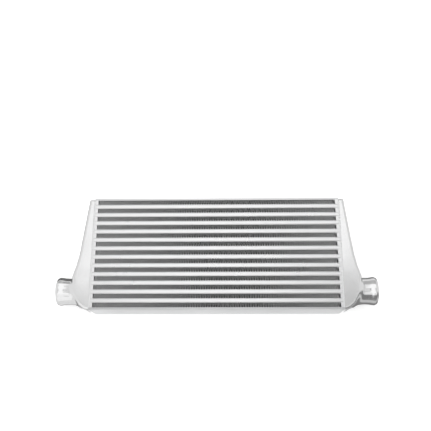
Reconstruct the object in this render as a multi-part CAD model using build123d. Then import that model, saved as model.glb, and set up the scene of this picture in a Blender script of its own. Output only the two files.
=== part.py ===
"""Front-mounted air-to-air intercooler: a bar-and-plate core between two cast end tanks.

Millimetres.  The core lies on its back: +X runs along its width, +Y towards its top side
plate and +Z out of its front face, where the cooling air goes in.  The origin is under the
middle of the core, on the plane that the back of the core and the tanks rest on.
"""
from build123d import *
from math import hypot, sqrt
import os

# ---- Core ----------------------------------------------------------------------------
core_width = 600.0             # along X, over the end bars
core_depth = 76.0              # along Z, front face to back face
air_rows = 13                  # open rows of cooling-air fins; one fewer charge passage
air_row_height = 11.1
charge_bar_height = 9.0        # height of a charge passage between its parting sheets
sheet_thickness = 0.5
side_plate_thickness = 5.0
bar_depth = 8.0                # the long bars that close a charge passage front and back
bar_edge_break = 1.5           # broken outer edges of those bars
end_bar_width = 8.5            # the short bars that close an air row at each end

# ---- Fins ----------------------------------------------------------------------------
air_fin_pitch = 26.5
air_fin_thickness = 0.45
air_fin_recess = 1.0           # fin edges stand this far back from the core faces
charge_fin_pitch = 15.0
charge_fin_thickness = 0.4
charge_fin_recess = 3.0        # ends of the charge fins behind the core's end faces

# ---- End tanks -----------------------------------------------------------------------
# The outer wall runs through these points: how far it stands out from the end of the core,
# and the height from the middle of the core.
tank_wall = 4.0
tank_top_width = 13.5
taper_width = 30.0
taper_y = 0.0
shoulder_width = 36.2
shoulder_y = -30.0
root_width = 45.0              # where the wall runs in to the spigot's upper side
root_y = -58.0
cheek_width = 42.5             # the wall beside the spigot curves through here to the foot
cheek_y = -95.0
cheek_flats = 4                # flats that follow that curve
foot_width = 25.0              # where that curve ends, level with the underside of the neck
tank_foot_inset = 1.0          # tank's lower edge above the core's lower edge
tank_top_inset = 1.5           # tank's upper edge below the core's upper edge
tank_edge_radius = 6.0         # rounded outer edges and top outer corner

# ---- Spigots -------------------------------------------------------------------------
spigot_diameter = 63.5
spigot_wall = 3.5
spigot_axis_y = -88.2          # height of the spigot's axis from the middle of the core
spigot_reach = 83.5            # core end to the mouth of the spigot
neck_diameter = 75.0           # where the neck leaves the tank
neck_end = 54.0                # core end to where the neck has closed in to the tube
neck_steps = 3                 # the neck closes in along an arc, in this many cones
hose_bead_diameter = 68.0
hose_bead_ramp = 16.0          # long slope up to the bead from the tank's side
hose_bead_crest = 3.0
hose_bead_drop = 3.0           # short slope down to the mouth
hose_bead_setback = 5.5        # middle of the bead's crest to the mouth

# ---- Welds ---------------------------------------------------------------------------
weld_width = 6.0
weld_proud = 1.0
weld_groove = 2.0

# ---- Worked out from the sizes above -------------------------------------------------
charge_rows = air_rows - 1
passage_height = charge_bar_height + 2 * sheet_thickness
row_pitch = air_row_height + passage_height
stack_height = air_rows * air_row_height + charge_rows * passage_height
core_height = stack_height + 2 * side_plate_thickness
half_width = core_width / 2
half_height = core_height / 2
back_z = weld_proud            # the weld beads stand proud, and the part rests on them
middle_z = back_z + core_depth / 2
spigot_radius = spigot_diameter / 2
neck_radius = neck_diameter / 2
neck_length = neck_end - foot_width
neck_arc = (neck_length ** 2 + (neck_radius - spigot_radius) ** 2) / (
    2 * (neck_radius - spigot_radius))
mouth_x = half_width + spigot_reach
tank_foot_y = -half_height + tank_foot_inset
tank_top_y = half_height - tank_top_inset


def air_row_y(row):
    """Middle of an air row, counted from the bottom."""
    return -stack_height / 2 + air_row_height / 2 + row * row_pitch


def charge_row_y(row):
    """Middle of a charge passage, counted from the bottom."""
    return air_row_y(row) + row_pitch / 2


def block(size_x, size_y, size_z, x, y, z):
    """A plain bar or plate, by its size and its middle."""
    return Pos(x, y, z) * Box(size_x, size_y, size_z)


def corrugation(width, height, pitch, thickness):
    """End view of a folded fin: a zigzag strip, as many walls as the width has room for."""
    step = pitch / 2
    walls = int(width / step)
    upright = thickness * hypot(step, height) / step
    upper = [((i - walls / 2) * step, height / 2 if i % 2 else upright - height / 2)
             for i in range(walls + 1)]
    lower = [(x, y - upright) for x, y in reversed(upper)]
    return make_face(Polyline(*upper, *lower, close=True))


# ---- Core pieces ---------------------------------------------------------------------
def side_plate(side):
    """Plate that closes the top (side 1) or the bottom (side -1) of the stack."""
    y = side * (half_height - side_plate_thickness / 2)
    return block(core_width, side_plate_thickness, core_depth, 0, y, middle_z)


def parting_sheets():
    """The thin sheets above and below every charge passage."""
    sheets = []
    offset = (charge_bar_height + sheet_thickness) / 2
    for row in range(charge_rows):
        for side in (-1, 1):
            y = charge_row_y(row) + side * offset
            sheets.append(block(core_width, sheet_thickness, core_depth, 0, y, middle_z))
    return Compound(children=sheets)


def long_bar(row, face):
    """Extruded bar along the front (face 1) or the back (face -1) of a passage."""
    z = middle_z + face * (core_depth - bar_depth) / 2
    bar = block(core_width, charge_bar_height, bar_depth, 0, charge_row_y(row), z)
    outer_face = bar.faces().sort_by(Axis.Z)[-1 if face > 0 else 0]
    return chamfer(outer_face.edges().filter_by(Axis.X), bar_edge_break)


def end_bars(side):
    """Short bars that close the air rows at one end of the core."""
    x = side * (half_width - end_bar_width / 2)
    bars = [block(end_bar_width, air_row_height, core_depth, x, air_row_y(row), middle_z)
            for row in range(air_rows)]
    return Compound(children=bars)


def air_fin(row):
    """Fin strip of one air row: folds side by side along X, open from front to back."""
    section = corrugation(core_width - 2 * end_bar_width, air_row_height,
                          air_fin_pitch, air_fin_thickness)
    depth = core_depth - 2 * air_fin_recess
    return Pos(0, air_row_y(row), back_z + air_fin_recess) * extrude(section, depth)


def charge_fin(row):
    """Fin strip inside one charge passage: folds side by side along Z, open along X."""
    section = corrugation(core_depth - 2 * bar_depth, charge_bar_height,
                          charge_fin_pitch, charge_fin_thickness)
    length = core_width - 2 * charge_fin_recess
    turned = Plane(origin=(-length / 2, charge_row_y(row), middle_z),
                   x_dir=(0, 0, -1), z_dir=(1, 0, 0))
    return extrude(turned * section, length)


# ---- End tanks, drawn at the +X end --------------------------------------------------
def tank_outline():
    """Front view of the tank's tapered box."""
    root = (root_width, root_y)
    foot = (foot_width, spigot_axis_y - neck_radius)
    curve = ThreePointArc(root, (cheek_width, cheek_y), foot)
    cheek = [curve @ (flat / cheek_flats) for flat in range(cheek_flats + 1)]
    corners = [(0, tank_top_y), (tank_top_width, tank_top_y), (taper_width, taper_y),
               (shoulder_width, shoulder_y), *cheek, (0, tank_foot_y)]
    return Pos(half_width, 0) * make_face(Polyline(*corners, close=True))


def tank_box():
    """Skin of the tapered box, with its outer edges rounded."""
    box = Pos(0, 0, back_z) * extrude(tank_outline(), core_depth)
    top = box.faces().sort_by(Axis.Y)[-1]
    corner = top.edges().filter_by(Axis.Z).sort_by(Axis.X)[-1]
    joint = box.faces().sort_by(Axis.X)[0]
    rim = [edge for face in box.faces().filter_by(Axis.Z) for edge in face.edges()
           if edge not in joint.edges()]
    return fillet([corner, *rim], tank_edge_radius)


def spigot(inset):
    """Neck and round tube as a solid of revolution; inset 0 is the skin."""
    neck = []
    for step in range(neck_steps + 1):
        left = neck_length * (1 - step / neck_steps)
        flare = neck_arc - sqrt(neck_arc ** 2 - left ** 2)
        neck.append((half_width + neck_end - left, spigot_radius - inset + flare))
    outline = [(neck[0][0], 0), *neck, (mouth_x, spigot_radius - inset), (mouth_x, 0)]
    profile = make_face(Polyline(*outline, close=True))
    return Pos(0, spigot_axis_y, middle_z) * revolve(profile, Axis.X)


def hose_bead():
    """Raised ring near the mouth that keeps the hose on."""
    crest_start = mouth_x - hose_bead_setback - hose_bead_crest / 2
    crest_end = crest_start + hose_bead_crest
    start = crest_start - hose_bead_ramp
    end = crest_end + hose_bead_drop
    outline = [(start, 0), (start, spigot_radius), (crest_start, hose_bead_diameter / 2),
               (crest_end, hose_bead_diameter / 2), (end, spigot_radius), (end, 0)]
    profile = make_face(Polyline(*outline, close=True))
    return Pos(0, spigot_axis_y, middle_z) * revolve(profile, Axis.X)


def tank_cavity():
    """Air space of the tapered box, open to the core at the joint."""
    space = offset(tank_outline(), -tank_wall, kind=Kind.INTERSECTION)
    depth = core_depth - 2 * tank_wall
    box = Pos(0, 0, back_z + tank_wall) * extrude(space, depth)
    low = tank_foot_y + tank_wall
    high = tank_top_y - tank_wall
    opening = block(3 * tank_wall, high - low, depth,
                    half_width, (high + low) / 2, middle_z)
    return box + opening


def end_tank():
    """Hollow cast tank: tapered box, neck, spigot and hose bead in one piece."""
    return tank_box() + spigot(0) + hose_bead() - tank_cavity() - spigot(spigot_wall)


def weld_bead(tank):
    """Bead all round the joint between the core's end and the tank."""
    low = tank_foot_y - weld_proud
    high = tank_top_y + weld_proud
    depth = core_depth + 2 * weld_proud
    band = block(weld_width, high - low, depth, half_width, (high + low) / 2, middle_z)
    band = chamfer(band.edges().filter_by(Axis.X, reverse=True), weld_proud)
    hole = block(2 * weld_width, high - low - 2 * (weld_proud + weld_groove),
                 depth - 2 * (weld_proud + weld_groove), half_width, (high + low) / 2, middle_z)
    core = block(core_width, core_height, core_depth, 0, 0, middle_z)
    return band - hole - core - tank


def at_both_ends(name, piece):
    """The piece drawn at +X and its mirror image at -X, by node name."""
    return {f"{name}_right": piece, f"{name}_left": mirror(piece, about=Plane.YZ)}


def all_nodes():
    """Every piece by its node name."""
    nodes = {"top_plate": side_plate(1), "bottom_plate": side_plate(-1),
             "parting_sheets": parting_sheets(),
             "end_bars_left": end_bars(-1), "end_bars_right": end_bars(1)}
    for row in range(air_rows):
        nodes[f"air_fin_{row + 1:02d}"] = air_fin(row)
    for row in range(charge_rows):
        nodes[f"charge_fin_{row + 1:02d}"] = charge_fin(row)
        nodes[f"front_bar_{row + 1:02d}"] = long_bar(row, 1)
        nodes[f"rear_bar_{row + 1:02d}"] = long_bar(row, -1)
    tank = end_tank()
    nodes.update(at_both_ends("end_tank", tank))
    nodes.update(at_both_ends("weld_bead", weld_bead(tank)))
    return nodes


os.makedirs("parts", exist_ok=True)
for node_name, piece in all_nodes().items():
    export_step(piece, f"parts/{node_name}.step")
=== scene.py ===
"""Looks of the front-mounted intercooler: metres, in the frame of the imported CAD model."""
from math import radians, sqrt

import bpy
import numpy as np
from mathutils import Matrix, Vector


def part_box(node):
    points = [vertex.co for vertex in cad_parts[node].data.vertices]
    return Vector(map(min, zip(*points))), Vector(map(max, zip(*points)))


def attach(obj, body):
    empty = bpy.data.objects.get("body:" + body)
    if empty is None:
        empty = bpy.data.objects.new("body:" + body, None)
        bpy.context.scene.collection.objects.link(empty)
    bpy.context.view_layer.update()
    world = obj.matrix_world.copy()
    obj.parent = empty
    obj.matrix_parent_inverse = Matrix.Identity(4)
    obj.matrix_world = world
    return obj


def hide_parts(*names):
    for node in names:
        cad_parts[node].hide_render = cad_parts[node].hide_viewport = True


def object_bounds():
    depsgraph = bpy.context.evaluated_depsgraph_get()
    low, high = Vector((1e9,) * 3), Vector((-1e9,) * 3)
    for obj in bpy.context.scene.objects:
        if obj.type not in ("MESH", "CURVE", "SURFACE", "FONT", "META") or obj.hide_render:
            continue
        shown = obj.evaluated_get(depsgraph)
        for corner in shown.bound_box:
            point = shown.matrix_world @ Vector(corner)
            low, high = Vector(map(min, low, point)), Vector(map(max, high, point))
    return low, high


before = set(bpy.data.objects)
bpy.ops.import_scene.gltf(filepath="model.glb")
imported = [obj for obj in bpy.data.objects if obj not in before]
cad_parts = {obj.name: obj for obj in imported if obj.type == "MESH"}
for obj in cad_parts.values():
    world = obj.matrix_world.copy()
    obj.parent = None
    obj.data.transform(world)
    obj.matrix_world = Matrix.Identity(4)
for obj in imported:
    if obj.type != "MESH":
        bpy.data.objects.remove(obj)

cad_low, cad_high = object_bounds()

# ---- Camera --------------------------------------------------------------------------
CAMERA_LENS_MM = 50.12
CAMERA_SENSOR_MM = 36.0
CAMERA_PLACE = (0.0283, -0.3452, 1.4798)
CAMERA_TURN_DEGREES = (17.324, 1.196, 0.111)

# ---- Air fins ------------------------------------------------------------------------
AIR_ROWS = sum(name.startswith("air_fin_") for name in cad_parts)
FIN_PITCH = 0.0060             # one full fold, along the core's width
FIN_THICKNESS = 0.00045
FIN_CROWN = 0.0008             # flat top of each fold, brazed to the parting sheet
FIN_STRIP_DEPTH = 0.0185       # depth of a lanced strip; a row has several, front to back
FIN_SHIFT = 0.03               # share of a fold by which every second strip is shifted
FIN_BRIGHT_DEPTH = 0.004       # painted shade: the foil keeps its full colour this far in from the open faces
FIN_DARK_DEPTH = 0.024         # ... and from this far in, its colour is darkened to this share of it
FIN_INSIDE_TONE = 0.06

# ---- Tanks ---------------------------------------------------------------------------
# The outer wall, as (out from the core's end, height above the core's middle).
TANK_WALL_POINTS = ((0.0300, 0.0), (0.0362, -0.030), (0.0450, -0.058))
TANK_TOP_WIDTH = 0.0135
CHEEK_MIDDLE = (0.0395, -0.093)   # the end wall beside the spigot is an arc through here
CHEEK_FOOT = (0.0260, -0.1245)
CHEEK_STEPS = 10
FOOT_POINTS = ((0.0130, -0.1342), (0.0050, -0.1368))    # the lower wall, back to the core
TANK_EDGE_RADIUS = 0.0065
CHEEK_EDGE_RADIUS = 0.010      # the edge rounds over more and more towards the spigot
CHEEK_TOP = -0.045             # ... between these heights
CHEEK_FULL = -0.080
TANK_WALL = 0.004
SPIGOT_AXIS_Y = -0.0882
SPIGOT_RADIUS = 0.03175
SPIGOT_WALL = 0.0035
NECK_RADIUS = 0.0375
NECK_START = 0.027             # out from the core's end
NECK_END = 0.054
BEAD_CREST = 0.0780
BEAD_RAMP = 0.0170             # from the crest in towards the tank
BEAD_DROP = 0.0050             # from the crest out towards the mouth
BEAD_HEIGHT = 0.00225
BLEND_SOFT = 0.013             # cast blend between the box and the neck
BLEND_CRISP = 0.002            # the same on the upper side of the spigot
BEAD_BLEND = 0.001             # ... and at the foot of the hose bead
CAVITY_EDGE_ROUND = 0.0004
MOUTH_EDGE_ROUND = 0.0012
GRID_STEP = 0.0015             # mesh size of the tanks
NET_MARGIN = 1.5               # steps that the grid reaches past the tank
NET_PULLS = 4                  # times that each mesh point is drawn onto the surface
LEAST_SLOPE = 0.25             # keeps a pull short where the distance field is flat
TINY = 1e-9                    # keeps a division from failing

# Name, sign along X and order of a face's points at each end of the core.
BOTH_ENDS = (("right", 1.0, 1), ("left", -1.0, -1))

# ---- Welds ---------------------------------------------------------------------------
RIPPLE_PITCH = 0.0065
RIPPLE_DEPTH = 0.60            # share of the bead's height
RIPPLE_LAG = 0.35              # the middle of a ripple trails by this share of the pitch
WELD_STEP = 0.0006             # along the weld
WELD_COLUMNS = 10              # across the weld
WELD_HEIGHT = 0.0022           # from the edges of the bead to its crown
WELD_CORNER_RADIUS = 0.006
WELD_CORNER_STEPS = 6
WELD_SHARP_DEGREES = 60

# ---- Studio --------------------------------------------------------------------------
ROOM_LIGHT = 0.85              # light that the white room gives; it is seen at full white
FLOOR_SIDE = 6.0
FLOOR_GREY = 0.92
FLOOR_ROUGHNESS = 0.9
FLOOR_LIFT = 0.42              # keeps the floor white where it is seen, with a pale shadow
FLOOR_LIFT_FADE = 0.012        # the lift ends over this width inside the core's outline
LAMP_SIZE = (2.4, 1.6)
LAMP_WATTS = 12.5
LAMP_PLACE = (-0.4, 0.7, 1.9)
CARD_EDGE = 0.001              # share of its size over which a hard-edged card ends

# Turns of a card about X, Y and Z, in degrees.
LYING = (0, 0, 0)
ACROSS = (90, 0, 0)
ALONG = (90, 0, 90)
SLANTED = (0, 0, 15.7)
# Grey cards that the metal reflects: name, middle, size, grey, turn, and the shares of its
# half width and half height over which the card fades out.  Those on the floor lie 1 mm
# above it at most.
CARDS = (("card_over_right", (0.52, -0.02, 1.38), (0.26, 0.60), 0.40, LYING, (0.1, 0.4)),
         ("card_over_left", (-0.565, -0.045, 1.38), (0.26, 0.45), 0.55, LYING, (0.1, 0.45)),
         ("card_near_right", (0.83, 0.50, 1.40), (0.34, 1.80), 0.74, LYING, (0.1, 0.1)),
         ("card_near_left", (-0.865, 0.50, 1.40), (0.34, 1.80), 0.64, LYING, (0.1, 0.1)),
         ("card_side_over_right", (1.55, 0.50, 1.41), (1.20, 3.00), 0.60, LYING, (0.1, 0.1)),
         ("card_side_over_left", (-1.57, 0.50, 1.41), (1.20, 3.00), 0.72, LYING, (0.1, 0.1)),
         ("card_boom_left", (-0.90, -0.46, 1.39), (0.8, 0.12), 0.10, LYING, (0.3, 0.3)),
         ("card_boom_right", (0.90, -0.46, 1.39), (0.8, 0.12), 0.10, LYING, (0.3, 0.3)),
         ("card_front_right", (1.60, -1.10, 0.62), (2.9, 1.26), 0.18, ACROSS, (0.03, 0.15)),
         ("card_upper_right", (1.60, -1.14, 1.80), (2.9, 1.40), 0.75, ACROSS, (0.1, 0.1)),
         ("card_front_left", (-1.60, -1.10, 1.00), (2.9, 1.90), 0.88, ACROSS, (0.1, 0.1)),
         ("card_patch_left", (-0.72, -1.05, 0.88), (0.30, 0.18), 0.50, ACROSS, (0.5, 0.5)),
         ("card_back_left", (-1.2, 1.9, 0.65), (2.0, 1.1), 0.35, ACROSS, (0.1, 0.3)),
         ("card_back_right", (1.0, 1.5, 0.72), (1.8, 1.4), 0.42, ACROSS, (0.1, 0.1)),
         ("card_left", (-2.2, 0.3, 1.1), (3.2, 2.2), 0.74, ALONG, (0.1, 0.1)),
         ("card_right", (2.1, 0.775, 1.1), (2.25, 2.2), 0.70, ALONG, (0.1, 0.1)),
         ("card_corner_right", (2.1, -0.72, 0.62), (0.78, 1.26), 0.20, ALONG, (0.1, 0.15)),
         ("card_floor_front", (0.0, -1.365, 0.0004), (5.0, 2.40), 0.72, LYING, (0.0, 0.0)),
         ("card_floor_left", (-1.405, 0.96, 0.0004), (2.19, 2.25), 0.72, LYING, (0.0, 0.0)),
         ("card_floor_right", (1.405, 0.96, 0.0004), (2.19, 2.25), 0.72, LYING, (0.0, 0.0)),
         ("card_floor_back", (0.0, 1.1135, 0.0004), (0.62, 1.943), 0.72, LYING, (0.0, 0.0)),
         ("card_under_left", (-0.62, 0.80, 0.0008), (0.22, 1.80), 0.12, SLANTED, (0.1, 0.1)),
         # The limb cards lie on the floor under the spigots, darker than it: painted shade that
         # only the metal reflects.
         ("card_limb_left", (-0.405, -0.0675, 0.0008), (0.14, 0.145), 0.22, LYING, (0.1, 0.1)),
         ("card_floor_gap", (-0.48, -0.1525, 0.0006), (0.27, 0.027), 0.72, LYING, (0.0, 0.0)),
         ("card_limb_right", (0.415, -0.065, 0.0008), (0.16, 0.27), 0.20, LYING, (0.1, 0.1)),
         ("card_pipe_right", (0.90, -0.92, 0.0006), (1.20, 1.50), 0.48, LYING, (0.0, 0.1)),
         # The foot cards lie on the floor before the tank feet, darker than it: painted shade
         # that only the metal reflects.
         ("card_foot_left", (-0.3315, -0.25, 0.001), (0.027, 0.222), 0.42, LYING, (0.0, 0.0)),
         ("card_foot_right", (0.3315, -0.25, 0.001), (0.027, 0.222), 0.26, LYING, (0.0, 0.0)))


# ---- Small helpers -------------------------------------------------------------------
def mesh_piece(name, points, faces, material):
    """A piece of the object from its points and faces."""
    mesh = bpy.data.meshes.new(name)
    mesh.from_pydata([tuple(p) for p in points], [], [tuple(f) for f in faces])
    mesh.materials.append(material)
    mesh.update()
    piece = bpy.data.objects.new(name, mesh)
    bpy.context.scene.collection.objects.link(piece)
    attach(piece, "root")
    return piece


def smooth_shading(piece, sharp_degrees):
    """Smooth shading, with edges sharper than the angle kept crisp."""
    piece.data.polygons.foreach_set("use_smooth", [True] * len(piece.data.polygons))
    piece.data.set_sharp_from_angle(angle=radians(sharp_degrees))


# ---- Shader nodes --------------------------------------------------------------------
NOISE_LOW, NOISE_HIGH = 0.3, 0.7        # where nearly all of a noise texture's values lie
MIX_A, MIX_B, MIX_RESULT = 6, 7, 2      # a Mix node's sockets for colours


def add_node(tree, kind, **settings):
    """A node with its sockets (by name) or properties set."""
    node = tree.nodes.new(kind)
    for key, value in settings.items():
        if key in node.inputs:
            node.inputs[key].default_value = value
        else:
            setattr(node, key, value)
    return node


def map_range(tree, value, from_min, from_max, to_min=0.0, to_max=1.0, **settings):
    """The value, taken from one range to another and held inside it."""
    node = add_node(tree, "ShaderNodeMapRange", **settings)
    for socket, number in (("From Min", from_min), ("From Max", from_max),
                           ("To Min", to_min), ("To Max", to_max)):
        node.inputs[socket].default_value = number
    tree.links.new(value, node.inputs["Value"])
    return node.outputs["Result"]


def math_node(tree, operation, *values):
    """The outcome of a math node on outputs and plain numbers."""
    node = add_node(tree, "ShaderNodeMath", operation=operation)
    for socket, value in zip(node.inputs, values):
        if isinstance(value, bpy.types.NodeSocket):
            tree.links.new(value, socket)
        else:
            socket.default_value = value
    return node.outputs[0]


def axes_of(tree, kind, output):
    """The X, Y and Z outputs of a place, from this kind of node."""
    split = add_node(tree, "ShaderNodeSeparateXYZ")
    tree.links.new(add_node(tree, kind).outputs[output], split.inputs[0])
    return split.outputs


def darkened(tree, colour, tone):
    """The colour, given as an output or as a plain value, multiplied by the tone."""
    mix = add_node(tree, "ShaderNodeMix", data_type="RGBA", blend_type="MULTIPLY", Factor=1.0)
    if isinstance(colour, bpy.types.NodeSocket):
        tree.links.new(colour, mix.inputs[MIX_A])
    else:
        mix.inputs[MIX_A].default_value = (*colour, 1.0)
    tree.links.new(tone, mix.inputs[MIX_B])
    return mix.outputs[MIX_RESULT]


# ---- Materials -----------------------------------------------------------------------
def metal(name, colour, colour_range, roughness_range, stretch, grain_scale, grain_depth,
          wave_scale=18.0, wave_depth=0.0, metallic=1.0):
    """Aluminium whose tone follows a fine grain, and whose roughness and waviness drift.

    The grain is drawn out along an axis where stretch is below 1.
    """
    material = bpy.data.materials.new(name)
    material.use_nodes = True
    tree = material.node_tree
    shader = tree.nodes["Principled BSDF"]
    shader.inputs["Metallic"].default_value = metallic
    place = add_node(tree, "ShaderNodeTexCoord")
    turn = add_node(tree, "ShaderNodeMapping", Scale=stretch)
    tree.links.new(place.outputs["Object"], turn.inputs["Vector"])
    drift = add_node(tree, "ShaderNodeTexNoise", Scale=wave_scale, Detail=4.0, Roughness=0.55)
    grain = add_node(tree, "ShaderNodeTexNoise", Scale=grain_scale, Detail=3.0, Roughness=0.6)
    tree.links.new(place.outputs["Object"], drift.inputs["Vector"])
    tree.links.new(turn.outputs["Vector"], grain.inputs["Vector"])

    tone = map_range(tree, grain.outputs["Fac"], NOISE_LOW, NOISE_HIGH, 1.0 - colour_range, 1.0)
    tree.links.new(darkened(tree, colour, tone), shader.inputs["Base Color"])
    rough = map_range(tree, drift.outputs["Fac"], NOISE_LOW, NOISE_HIGH, *roughness_range)
    tree.links.new(rough, shader.inputs["Roughness"])

    fine = add_node(tree, "ShaderNodeBump", Strength=1.0, Distance=grain_depth)
    tree.links.new(grain.outputs["Fac"], fine.inputs["Height"])
    wave = add_node(tree, "ShaderNodeBump", Strength=1.0, Distance=wave_depth)
    tree.links.new(drift.outputs["Fac"], wave.inputs["Height"])
    tree.links.new(fine.outputs["Normal"], wave.inputs["Normal"])
    tree.links.new(wave.outputs["Normal"], shader.inputs["Normal"])
    return material


def paint_fin_shade(material):
    """Painted shade: darkens the foil's colour away from the core's two open faces, where
    little light gets in.
    """
    low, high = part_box("air_fin_01")
    half_depth = (high.z - low.z) / 2
    tree = material.node_tree
    base = tree.nodes["Principled BSDF"].inputs["Base Color"]
    place = axes_of(tree, "ShaderNodeTexCoord", "Object")
    off = math_node(tree, "SUBTRACT", place["Z"], (low.z + high.z) / 2)
    tone = map_range(tree, math_node(tree, "ABSOLUTE", off), half_depth - FIN_DARK_DEPTH,
                     half_depth - FIN_BRIGHT_DEPTH, FIN_INSIDE_TONE)
    tree.links.new(darkened(tree, base.links[0].from_socket, tone), base)


BAR_METAL = metal("milled_aluminium", (0.975, 0.976, 0.978), colour_range=0.08,
                  roughness_range=(0.26, 0.36), stretch=(0.06, 1.0, 1.0),
                  grain_scale=900.0, grain_depth=0.00002)
PLATE_METAL = metal("rolled_aluminium", (0.80, 0.805, 0.81), colour_range=0.08,
                    roughness_range=(0.28, 0.40), stretch=(0.05, 1.0, 1.0),
                    grain_scale=700.0, grain_depth=0.00002, wave_scale=9.0, wave_depth=0.0002)
# The bottom plate's metal is darker than the other plates': painted shade on the underside.
UNDER_METAL = metal("shaded_rolled_aluminium", (0.65, 0.655, 0.66), colour_range=0.08,
                    roughness_range=(0.30, 0.42), stretch=(0.05, 1.0, 1.0),
                    grain_scale=700.0, grain_depth=0.00002, wave_scale=9.0, wave_depth=0.0002)
FIN_METAL = metal("fin_foil", (0.97, 0.972, 0.974), colour_range=0.10,
                  roughness_range=(0.30, 0.42), stretch=(1.0, 1.0, 0.2),
                  grain_scale=1200.0, grain_depth=0.00001, metallic=0.0)
FIN_EDGE_METAL = metal("fin_cut_edge", (0.54, 0.542, 0.545), colour_range=0.10,
                       roughness_range=(0.30, 0.42), stretch=(1.0, 1.0, 1.0),
                       grain_scale=1200.0, grain_depth=0.00001)
# painted shade deep in the fin rows, away from the open faces
paint_fin_shade(FIN_METAL)
CAST_METAL = metal("cast_aluminium", (0.97, 0.971, 0.973), colour_range=0.05,
                   roughness_range=(0.15, 0.22), stretch=(1.0, 1.0, 1.0),
                   grain_scale=1400.0, grain_depth=0.00003, wave_scale=26.0, wave_depth=0.00015)
WELD_METAL = metal("weld_aluminium", (0.95, 0.952, 0.955), colour_range=0.12,
                   roughness_range=(0.20, 0.34), stretch=(1.0, 1.0, 1.0),
                   grain_scale=500.0, grain_depth=0.00005)


def dress(node, material):
    """The CAD node keeps its shape and takes a material."""
    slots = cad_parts[node].material_slots
    for slot in slots:
        slot.material = material


# ---- Air fins ------------------------------------------------------------------------
def fold_line(low, high, y_low, y_high, shift):
    """One lanced strip seen from the front: crowns and slanting walls, left to right."""
    line = [(low, y_low)]
    crown = FIN_CROWN / 2
    half_folds = int((high - low) / FIN_PITCH * 2)
    for fold in range(half_folds + 1):
        middle = low + shift + (fold + 0.5) * FIN_PITCH / 2
        if middle + crown < high:
            y = y_high if fold % 2 else y_low
            line += [(middle - crown, y), (middle + crown, y)]
    line.append((high, line[-1][1]))
    return line


def air_fin(row):
    """Folded and lanced foil of one air row, in place of the coarse CAD strip."""
    node = f"air_fin_{row:02d}"
    low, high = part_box(node)
    half = FIN_THICKNESS / 2
    strips = round((high.z - low.z) / FIN_STRIP_DEPTH)
    depth = (high.z - low.z) / strips
    points = []
    faces = []
    cut_edges = []
    for strip in range(strips):
        shift = FIN_SHIFT * FIN_PITCH if strip % 2 else 0.0
        line = fold_line(low.x, high.x, low.y + half, high.y - half, shift)
        path = np.array(line)
        run = np.gradient(path, axis=0)
        across = np.stack([-run[:, 1], run[:, 0]], axis=1)
        across /= np.linalg.norm(across, axis=1)[:, None]
        z_near = high.z - strip * depth
        for side in (half, -half):
            edge = path + side * across
            edge = np.clip(edge, (low.x, low.y), (high.x, high.y))
            points += [(x, y, z_near) for x, y in edge]
            points += [(x, y, z_near - depth) for x, y in edge]
        n = len(line)
        start = len(points) - 4 * n
        for i in range(n - 1):
            a, b, c, d = (start + k * n + i for k in range(4))
            cut_edges += [len(faces) + 2, len(faces) + 3]
            faces += [(a, a + 1, b + 1, b), (d, d + 1, c + 1, c),
                      (c, c + 1, a + 1, a), (b, b + 1, d + 1, d)]
    piece = mesh_piece(f"fin_foil_{row:02d}", points, faces, FIN_METAL)
    piece.data.materials.append(FIN_EDGE_METAL)
    slots = np.zeros(len(faces), dtype=np.int32)
    slots[cut_edges] = 1
    piece.data.polygons.foreach_set("material_index", slots)
    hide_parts(node)


# ---- Cast tanks ----------------------------------------------------------------------
def arc_points(start, middle, end, steps):
    """Points along the circle through three points, in (out, y)."""
    (ax, ay), (bx, by), (cx, cy) = start, middle, end
    scale = 2 * (ax * (by - cy) + bx * (cy - ay) + cx * (ay - by))
    a, b, c = ax * ax + ay * ay, bx * bx + by * by, cx * cx + cy * cy
    x = (a * (by - cy) + b * (cy - ay) + c * (ay - by)) / scale
    y = (a * (cx - bx) + b * (ax - cx) + c * (bx - ax)) / scale
    first, last = (np.arctan2(py - y, px - x) for px, py in (start, end))
    radius = np.hypot(ax - x, ay - y)
    return [(x + radius * np.cos(t), y + radius * np.sin(t))
            for t in np.linspace(first, last, steps)]


def outline_distance(out, y, outline):
    """Signed distance to a closed outline, below zero inside."""
    nearest = np.full(out.shape, np.inf)
    inside = np.zeros(out.shape, dtype=bool)
    for (x1, y1), (x2, y2) in zip(outline, outline[1:] + outline[:1]):
        dx, dy = x2 - x1, y2 - y1
        along = np.clip(((out - x1) * dx + (y - y1) * dy) / (dx * dx + dy * dy), 0.0, 1.0)
        gap = np.hypot(out - x1 - along * dx, y - y1 - along * dy)
        nearest = np.minimum(nearest, gap)
        if dy:
            crosses = (y1 > y) != (y2 > y)
            inside ^= crosses & (out < x1 + (y - y1) * dx / dy)
    return np.where(inside, -nearest, nearest)


def soft_min(a, b, k):
    """Union of two distances with a fillet of about k."""
    h = np.maximum(k - np.abs(a - b), 0.0) / k
    return np.minimum(a, b) - h * h * k / 4


def soft_max(a, b, k):
    """Intersection of two distances with a rounded edge of about k."""
    return -soft_min(-a, -b, k)


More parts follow.
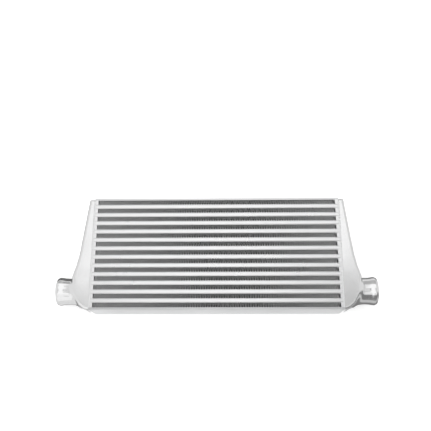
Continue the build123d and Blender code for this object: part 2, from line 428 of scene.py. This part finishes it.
class TankShape:
    """Distance field of one hollow cast tank, in (out from the core, y, z)."""

    def __init__(self, low, high):
        self.reach = high.x - low.x
        self.middle_z = (low.z + high.z) / 2
        self.half_depth = (high.z - low.z) / 2
        cheek = arc_points(TANK_WALL_POINTS[-1], CHEEK_MIDDLE, CHEEK_FOOT, CHEEK_STEPS)
        inward = -self.half_depth
        foot_y = FOOT_POINTS[-1][1]
        self.outline = [(inward, high.y), (TANK_TOP_WIDTH, high.y), *TANK_WALL_POINTS[:-1],
                        *cheek, *FOOT_POINTS, (0.0, foot_y), (inward, foot_y)]

    def box(self, out, y, z):
        """Tapered box with all its outer edges rounded."""
        low = np.clip((CHEEK_TOP - y) / (CHEEK_TOP - CHEEK_FULL), 0.0, 1.0)
        wide = np.clip(out / CHEEK_MIDDLE[0], 0.0, 1.0)
        r = TANK_EDGE_RADIUS + (CHEEK_EDGE_RADIUS - TANK_EDGE_RADIUS) * low * wide
        across = outline_distance(out, y, self.outline) + r
        depth = np.abs(z - self.middle_z) - self.half_depth + r
        outer = np.hypot(np.maximum(across, 0.0), np.maximum(depth, 0.0))
        return outer + np.minimum(np.maximum(across, depth), 0.0) - r

    def neck(self, out, y, z):
        """Flared neck and round tube about the spigot's axis."""
        rise = NECK_RADIUS - SPIGOT_RADIUS
        run = NECK_END - NECK_START
        arc = (run * run + rise * rise) / (2 * rise)
        left = np.clip(NECK_END - out, 0.0, run)
        radius = SPIGOT_RADIUS + arc - np.sqrt(arc * arc - left * left)
        slope = np.cos(np.arcsin(left / arc))
        gap = (np.hypot(y - SPIGOT_AXIS_Y, z - self.middle_z) - radius) * slope
        return np.maximum(gap, NECK_START - out)

    def bead(self, out, y, z):
        """Raised ring that keeps the hose on."""
        radius = np.hypot(y - SPIGOT_AXIS_Y, z - self.middle_z)
        off = out - BEAD_CREST
        share = np.clip(np.where(off < 0, -off / BEAD_RAMP, off / BEAD_DROP), 0.0, 1.0)
        rise = BEAD_HEIGHT * (1 - share * share * (3 - 2 * share))
        gap = radius - SPIGOT_RADIUS - rise
        return np.maximum(gap, np.maximum(BEAD_CREST - BEAD_RAMP - out,
                                          out - BEAD_CREST - BEAD_DROP))

    def blend(self, y):
        """Fillet size: crisp on the spigot's upper side, soft below."""
        top = SPIGOT_AXIS_Y + SPIGOT_RADIUS
        share = np.clip((top - y) / SPIGOT_RADIUS, 0.0, 1.0)
        return BLEND_CRISP + (BLEND_SOFT - BLEND_CRISP) * share

    def distance(self, out, y, z):
        """The hollow tank: skin less cavity, open at the core and at the mouth."""
        box = self.box(out, y, z)
        neck = self.neck(out, y, z)
        blend = self.blend(y)
        skin = soft_min(soft_min(box, neck, blend), self.bead(out, y, z), BEAD_BLEND)
        skin = np.maximum(skin, np.abs(z - self.middle_z) - self.half_depth)
        cavity = soft_min(box + TANK_WALL, neck + SPIGOT_WALL, blend)
        cavity = np.maximum(cavity, np.abs(z - self.middle_z) - self.half_depth + TANK_WALL)
        hollow = soft_max(skin, -cavity, CAVITY_EDGE_ROUND)
        hollow = soft_max(hollow, out - self.reach, MOUTH_EDGE_ROUND)
        return np.maximum(hollow, -out)


def surface_net(distance, low, high, step):
    """Quads on the zero level of a distance field, drawn in to lie on it, and the normals."""
    axes = [np.arange(a - NET_MARGIN * step, b + (NET_MARGIN + 1) * step, step)
            for a, b in zip(low, high)]
    grid = np.meshgrid(*axes, indexing="ij")
    field = distance(*grid)
    inside = field < 0
    size = tuple(n - 1 for n in field.shape)
    total = np.zeros(size + (3,))
    count = np.zeros(size)
    corner = [(i, j, k) for i in (0, 1) for j in (0, 1) for k in (0, 1)]

    def part(array, offset):
        """The array seen from every cell's corner at this offset."""
        return array[tuple(slice(o, o + n) for o, n in zip(offset, size))]

    for a in corner:
        for axis in range(3):
            if a[axis]:
                continue
            b = tuple(o + (i == axis) for i, o in enumerate(a))
            fa, fb = part(field, a), part(field, b)
            cut = part(inside, a) != part(inside, b)
            share = np.where(cut, fa / np.where(cut, fa - fb, 1.0), 0.0)
            place = np.array(a, float)[None, None, None, :] + np.zeros(size + (3,))
            place[..., axis] += share
            total += np.where(cut[..., None], place, 0.0)
            count += cut
    active = count > 0
    number = np.full(size, -1)
    number[active] = np.arange(active.sum())
    cell = np.argwhere(active)
    origin = np.array([axis[0] for axis in axes])
    points = origin + step * (cell + total[active] / count[active][:, None])

    faces = []
    for axis in range(3):
        u, v = (axis + 1) % 3, (axis + 2) % 3
        ahead = [slice(1, n) for n in size]
        ahead[axis] = slice(0, size[axis])
        here = inside[tuple(ahead)]
        ahead[axis] = slice(1, size[axis] + 1)
        there = inside[tuple(ahead)]
        edges = np.argwhere(here != there)
        facing = here[tuple(edges.T)]
        edges[:, [u, v]] += 1
        quad = []
        for du, dv in ((0, 0), (1, 0), (1, 1), (0, 1)):
            where = edges.copy()
            where[:, u] -= du
            where[:, v] -= dv
            quad.append(number[tuple(where.T)])
        quad = np.stack(quad, axis=1)
        quad[~facing] = quad[~facing][:, ::-1]
        faces.append(quad)
    faces = np.concatenate(faces)

    def slope_at(place):
        """Slope of the field, from a short step each way along X, Y and Z."""
        reach = step / 4
        return np.stack([(distance(*(place + reach * e).T) - distance(*(place - reach * e).T))
                         / (2 * reach) for e in np.eye(3)], axis=1)

    for _ in range(NET_PULLS):
        value = distance(*points.T)
        slope = slope_at(points)
        strength = np.maximum((slope * slope).sum(axis=1), LEAST_SLOPE)
        move = value[:, None] * slope / strength[:, None]
        points = points - np.clip(move, -step / 2, step / 2)
    normals = slope_at(points)
    normals /= np.maximum(np.linalg.norm(normals, axis=1), TINY)[:, None]
    return points, faces, normals


def cast_tanks():
    """Both tanks from one distance field, the left one mirrored."""
    low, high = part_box("end_tank_right")
    shape = TankShape(low, high)
    points, faces, normals = surface_net(shape.distance, (0.0, FOOT_POINTS[-1][1], low.z),
                                         (shape.reach, high.y, high.z), GRID_STEP)
    points[:, 0] = np.clip(points[:, 0], 0.0, shape.reach) + low.x
    points[:, 1] = np.clip(points[:, 1], cad_low.y, high.y)
    points[:, 2] = np.clip(points[:, 2], low.z, high.z)
    for side, turn, order in BOTH_ENDS:
        piece = mesh_piece(f"cast_tank_{side}", points * (turn, 1.0, 1.0),
                           faces[:, ::order], CAST_METAL)
        piece.data.polygons.foreach_set("use_smooth", [True] * len(faces))
        piece.data.normals_split_custom_set_from_vertices((normals * (turn, 1.0, 1.0)).tolist())
        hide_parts(f"end_tank_{side}")


# ---- Welds ---------------------------------------------------------------------------
def weld_path(low, high):
    """Points and outward directions round the joint, in (y, z)."""
    radius = WELD_CORNER_RADIUS
    corners = [(high.y - radius, high.z - radius, 0), (low.y + radius, high.z - radius, 90),
               (low.y + radius, low.z + radius, 180), (high.y - radius, low.z + radius, 270)]
    line = []
    for y, z, start in corners:
        for step in range(WELD_CORNER_STEPS + 1):
            angle = radians(start + 90 / WELD_CORNER_STEPS * step)
            line.append((y + radius * np.cos(angle), z + radius * np.sin(angle),
                         np.cos(angle), np.sin(angle)))
    line = np.array(line + line[:1])
    gap = np.hypot(*np.diff(line[:, :2], axis=0).T)
    length = np.concatenate([[0.0], np.cumsum(gap)])
    count = int(round(length[-1] / WELD_STEP))
    at = np.linspace(0.0, length[-1], count, endpoint=False)
    round_it = np.stack([np.interp(at, length, line[:, k]) for k in range(4)], axis=1)
    round_it[:, 2:] /= np.linalg.norm(round_it[:, 2:], axis=1)[:, None]
    return at, length[-1], round_it


def weld_beads():
    """Rippled bead round each joint, in place of the plain CAD band."""
    low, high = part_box("weld_bead_right")
    at, length, path = weld_path(low, high)
    ripples = round(length / RIPPLE_PITCH)
    half_width = (high.x - low.x) / 2
    middle = (high.x + low.x) / 2
    points = []
    for s, (y, z, ny, nz) in zip(at, path):
        for column in range(WELD_COLUMNS + 1):
            across = 2 * column / WELD_COLUMNS - 1
            lag = RIPPLE_LAG * (1 - across * across)
            wave = (s / length * ripples - lag) % 1.0
            crown = sqrt(max(0.0, 1 - across * across))
            sink = WELD_HEIGHT * (1 - crown * (1 - RIPPLE_DEPTH * wave))
            points.append((middle + across * half_width, y - ny * sink, z - nz * sink))
    rows = len(at)
    wide = WELD_COLUMNS + 1
    faces = []
    for i in range(rows):
        for j in range(WELD_COLUMNS):
            a = i * wide + j
            b = (i + 1) % rows * wide + j
            faces.append((a, b, b + 1, a + 1))
    points = np.array(points)
    for side, turn, order in BOTH_ENDS:
        piece = mesh_piece(f"weld_{side}", points * (turn, 1.0, 1.0),
                           np.array(faces)[:, ::order], WELD_METAL)
        smooth_shading(piece, WELD_SHARP_DEGREES)
        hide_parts(f"weld_bead_{side}")


# ---- Studio --------------------------------------------------------------------------
def seen_directly(tree):
    """1 for rays from the camera, a mirror or a glass, 0 for the light that falls."""
    path = add_node(tree, "ShaderNodeLightPath")
    seen = path.outputs["Is Camera Ray"]
    for other in ("Is Glossy Ray", "Is Transmission Ray"):
        seen = math_node(tree, "MAXIMUM", seen, path.outputs[other])
    return seen


def fade_to_edges(tree, soft):
    """1 in the middle of a card, falling to 0 at its edges over a share of its half size."""
    place = axes_of(tree, "ShaderNodeTexCoord", "Generated")
    fades = []
    for axis, share in zip(("X", "Y"), soft):
        off = math_node(tree, "SUBTRACT", place[axis], 0.5)
        fades.append(map_range(tree, math_node(tree, "ABSOLUTE", off), 0.5,
                               0.5 - CARD_EDGE - share / 2, interpolation_type="SMOOTHSTEP"))
    return math_node(tree, "MULTIPLY", *fades)


def sheet(name, size, material):
    """A flat rectangle of the set."""
    wide, high = size[0] / 2, size[1] / 2
    mesh = bpy.data.meshes.new(name)
    mesh.from_pydata([(-wide, -high, 0), (wide, -high, 0), (wide, high, 0), (-wide, high, 0)],
                     [], [(0, 1, 2, 3)])
    mesh.materials.append(material)
    piece = bpy.data.objects.new(name, mesh)
    bpy.context.scene.collection.objects.link(piece)
    return piece


def card(name, centre, size, grey, turn, soft):
    """Soft-edged grey card for the metal to reflect, out of the camera's sight."""
    material = bpy.data.materials.new(name)
    material.use_nodes = True
    tree = material.node_tree
    tree.nodes.remove(tree.nodes["Principled BSDF"])
    glow = add_node(tree, "ShaderNodeEmission", Color=(grey, grey, grey, 1.0), Strength=1.0)
    clear = add_node(tree, "ShaderNodeBsdfTransparent")
    mix = add_node(tree, "ShaderNodeMixShader")
    tree.links.new(fade_to_edges(tree, soft), mix.inputs[0])
    tree.links.new(clear.outputs[0], mix.inputs[1])
    tree.links.new(glow.outputs[0], mix.inputs[2])
    tree.links.new(mix.outputs[0], tree.nodes["Material Output"].inputs["Surface"])
    piece = sheet(name, size, material)
    piece.location = centre
    piece.rotation_euler = [radians(angle) for angle in turn]
    piece.visible_camera = False
    piece.visible_diffuse = False
    piece.visible_shadow = False


def clear_of_core(tree):
    """The floor's lift: full in the open, none under the core."""
    low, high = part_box("bottom_plate")
    place = axes_of(tree, "ShaderNodeNewGeometry", "Position")
    lifts = []
    for axis, reach in (("X", high.x), ("Y", -low.y)):
        size = math_node(tree, "ABSOLUTE", place[axis])
        lifts.append(map_range(tree, size, reach - FLOOR_LIFT_FADE, reach, 0.0, FLOOR_LIFT))
    return math_node(tree, "MAXIMUM", *lifts)


def room():
    """White room, at full white where it is seen and a little lower as a light."""
    world = bpy.data.worlds.new("studio")
    bpy.context.scene.world = world
    world.use_nodes = True
    tree = world.node_tree
    background = tree.nodes["Background"]
    background.inputs["Color"].default_value = (1.0, 1.0, 1.0, 1.0)
    level = map_range(tree, seen_directly(tree), 0.0, 1.0, ROOM_LIGHT, 1.0)
    tree.links.new(level, background.inputs["Strength"])


def floor():
    """Pale floor, lifted to white where it is seen."""
    material = bpy.data.materials.new("studio_floor")
    material.use_nodes = True
    tree = material.node_tree
    shader = tree.nodes["Principled BSDF"]
    shader.inputs["Base Color"].default_value = (FLOOR_GREY, FLOOR_GREY, FLOOR_GREY, 1.0)
    shader.inputs["Roughness"].default_value = FLOOR_ROUGHNESS
    shader.inputs["Specular IOR Level"].default_value = 0.0
    shader.inputs["Emission Color"].default_value = (1.0, 1.0, 1.0, 1.0)
    lift = math_node(tree, "MULTIPLY", seen_directly(tree), clear_of_core(tree))
    tree.links.new(lift, shader.inputs["Emission Strength"])
    sheet("floor", (FLOOR_SIDE, FLOOR_SIDE), material)


def overhead_lamp():
    """Large soft lamp above the object, out of the metal's sight."""
    lamp = bpy.data.lights.new("overhead", "AREA")
    lamp.shape = "RECTANGLE"
    lamp.size, lamp.size_y = LAMP_SIZE
    lamp.energy = LAMP_WATTS
    overhead = bpy.data.objects.new("overhead", lamp)
    overhead.visible_glossy = False
    overhead.location = LAMP_PLACE
    overhead.rotation_euler = (-overhead.location).to_track_quat("-Z", "Y").to_euler()
    bpy.context.scene.collection.objects.link(overhead)


def camera():
    """The photograph's viewpoint."""
    data = bpy.data.cameras.new("camera")
    data.lens = CAMERA_LENS_MM
    data.sensor_width = CAMERA_SENSOR_MM
    eye = bpy.data.objects.new("camera", data)
    eye.location = CAMERA_PLACE
    eye.rotation_euler = [radians(angle) for angle in CAMERA_TURN_DEGREES]
    bpy.context.scene.collection.objects.link(eye)
    bpy.context.scene.camera = eye


# ---- Scene ---------------------------------------------------------------------------
bpy.context.scene.view_settings.view_transform = "Standard"
camera()
room()
floor()
overhead_lamp()
for card_settings in CARDS:
    card(*card_settings)
for node_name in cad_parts:
    if "fin" in node_name:
        dress(node_name, FIN_METAL)
    elif node_name == "bottom_plate":
        dress(node_name, UNDER_METAL)
    elif "plate" in node_name:
        dress(node_name, PLATE_METAL)
    else:
        dress(node_name, BAR_METAL)
for row_number in range(1, AIR_ROWS + 1):
    air_fin(row_number)
cast_tanks()
weld_beads()
